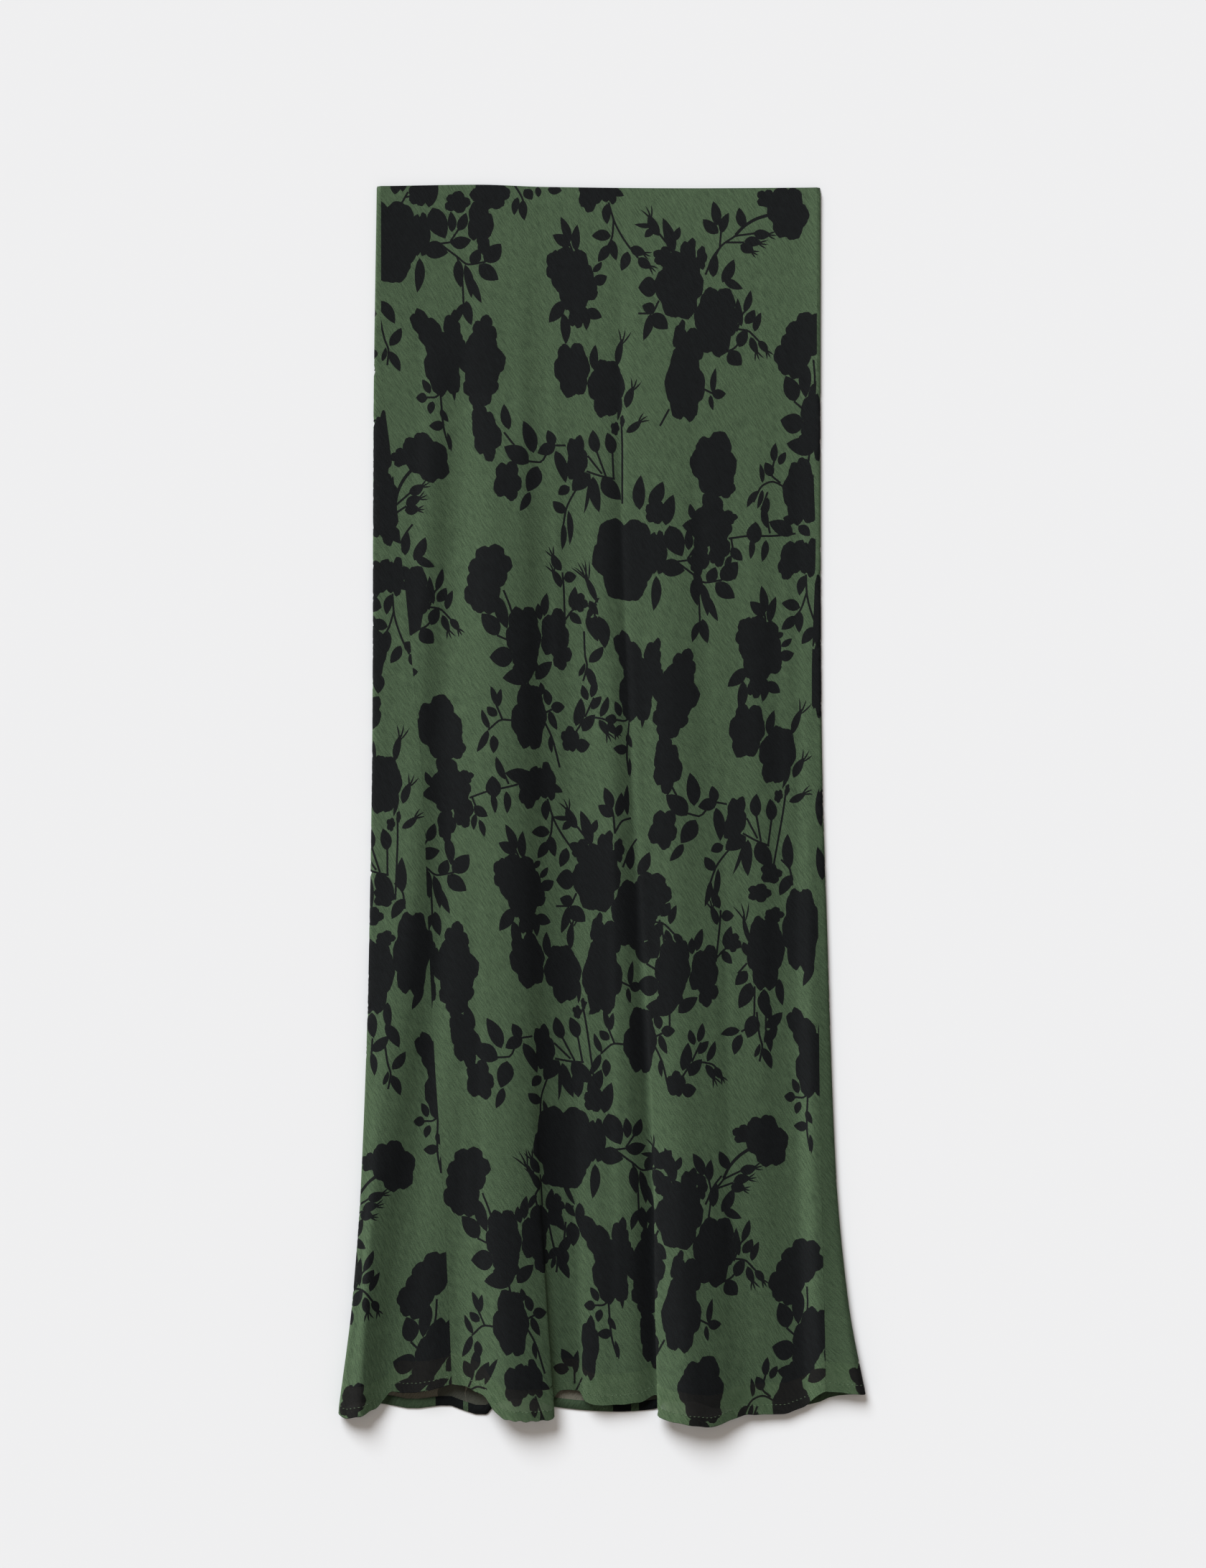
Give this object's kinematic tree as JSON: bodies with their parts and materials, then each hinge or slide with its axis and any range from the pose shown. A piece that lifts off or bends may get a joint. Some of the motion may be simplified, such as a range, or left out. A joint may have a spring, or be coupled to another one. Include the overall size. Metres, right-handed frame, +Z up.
{
  "type": "column skirt",
  "caption": "Long column skirt of printed crepe, laid flat on its back, with soft folds that open into round flutes along the hem.",
  "frame": {"origin": "on the surface that the skirt lies on, under the middle of its length and width", "axes": "+Y from the hem to the waist, +Z up out of the surface, +X across to the right as seen from above with the waist at the top"},
  "size_m": [0.4074, 0.9583, 0.0195],
  "materials": {
    "printed_crepe": "matt crinkled crepe, moss green with a near-black flower print over about two fifths of it",
    "turned_hem": "the same crepe turned over twice and stitched, so that the printed side shows within"
  },
  "bodies": {
    "root": {"front_panel": "printed_crepe", "back_panel": "printed_crepe", "front_hem": "turned_hem", "back_hem": "turned_hem"}
  },
  "joints": []
}
